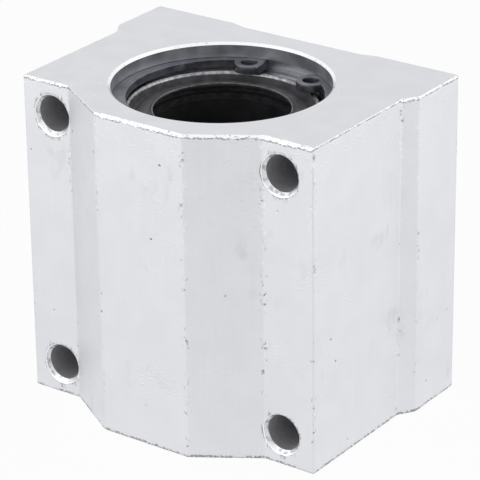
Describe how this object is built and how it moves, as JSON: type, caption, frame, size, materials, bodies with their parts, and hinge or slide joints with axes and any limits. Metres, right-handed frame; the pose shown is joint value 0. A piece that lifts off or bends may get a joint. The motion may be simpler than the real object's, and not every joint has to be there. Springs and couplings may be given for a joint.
{
  "type": "linear bearing block",
  "caption": "Flanged aluminium block with a ball bushing held in its through bore by internal circlips, for sliding along a round shaft.",
  "frame": {"origin": "on the bore axis, midway along the block", "axes": "+Z along the bore, +Y out of the flat mounting face, -Y out of the hump, +X across the flanges"},
  "size_m": [0.054, 0.041, 0.05],
  "materials": {
    "housing": "fine matt, silver anodised, with machined ends",
    "bearing_steel": "ground",
    "cage_resin": "moulded",
    "ball_steel": "polished",
    "ring_steel": "stamped",
    "seal_rubber": "moulded, matt",
    "spring_steel": "phosphated, oiled"
  },
  "bodies": {
    "root": {"housing": "housing", "bearing_sleeve": "bearing_steel", "ball_cage": "cage_resin", "ball_circuit_1": "ball_steel", "ball_circuit_2": "ball_steel", "ball_circuit_3": "ball_steel", "ball_circuit_4": "ball_steel", "ball_circuit_5": "ball_steel", "end_ring_top": "ring_steel", "seal_top": "seal_rubber", "circlip_top": "spring_steel", "end_ring_bottom": "ring_steel", "seal_bottom": "seal_rubber", "circlip_bottom": "spring_steel"}
  },
  "joints": []
}
